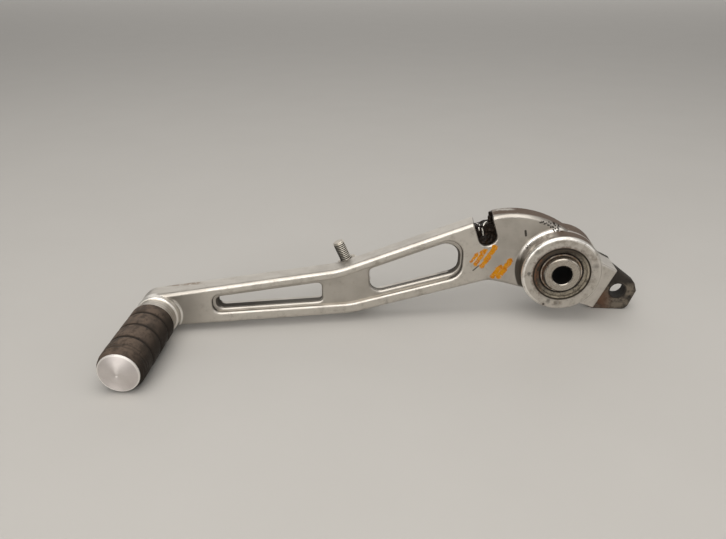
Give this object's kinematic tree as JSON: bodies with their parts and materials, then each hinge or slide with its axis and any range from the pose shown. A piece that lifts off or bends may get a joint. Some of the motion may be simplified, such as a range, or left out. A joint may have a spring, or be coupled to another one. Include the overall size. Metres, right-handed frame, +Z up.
{
  "type": "rear brake pedal",
  "caption": "Cast rear brake pedal with a slotted, swept arm, a rubber toe peg, a needle-bearing pivot, a clevis tab and a stop screw.",
  "frame": {"origin": "on the pivot axis, at the middle of the pivot sleeve", "axes": "+Y along the pivot axis, away from the side the toe peg points to; the arm runs towards -X; +Z up as the pedal lies in the picture"},
  "size_m": [0.2564, 0.1, 0.0566],
  "materials": {
    "cast_aluminium": "satin cast, worn, with bright edges",
    "turned_aluminium": "satin turned",
    "bearing_steel": "ground",
    "zinc_steel": "dull zinc plate",
    "seal_rubber": "matt, greasy",
    "peg_rubber": "matt, dusty"
  },
  "bodies": {
    "pedal": {"lever": "cast_aluminium", "bearing_cup": "bearing_steel", "front_seal": "seal_rubber", "rear_seal": "seal_rubber", "front_garter_spring": "bearing_steel", "rear_garter_spring": "bearing_steel", "peg_core": "turned_aluminium", "peg_rubber": "peg_rubber", "peg_screw": "zinc_steel", "peg_washer": "zinc_steel", "adjuster_screw": "zinc_steel", "lock_nut": "zinc_steel"},
    "sleeve": {"pivot_sleeve": "bearing_steel"},
    "needles": {"needle_cage": "bearing_steel", "needle_rollers": "bearing_steel"}
  },
  "joints": [
    {"name": "sleeve_turn", "type": "hinge", "parent": "pedal", "child": "sleeve", "pos_m": [0, 0, 0], "axis": [0, 1, 0], "continuous": true},
    {"name": "needle_roll", "type": "hinge", "parent": "pedal", "child": "needles", "pos_m": [0, 0, 0], "axis": [0, 1, 0], "continuous": true}
  ],
  "couplings": [
    {"joint": "needle_roll", "follows": "sleeve_turn", "ratio": 0.45}
  ]
}
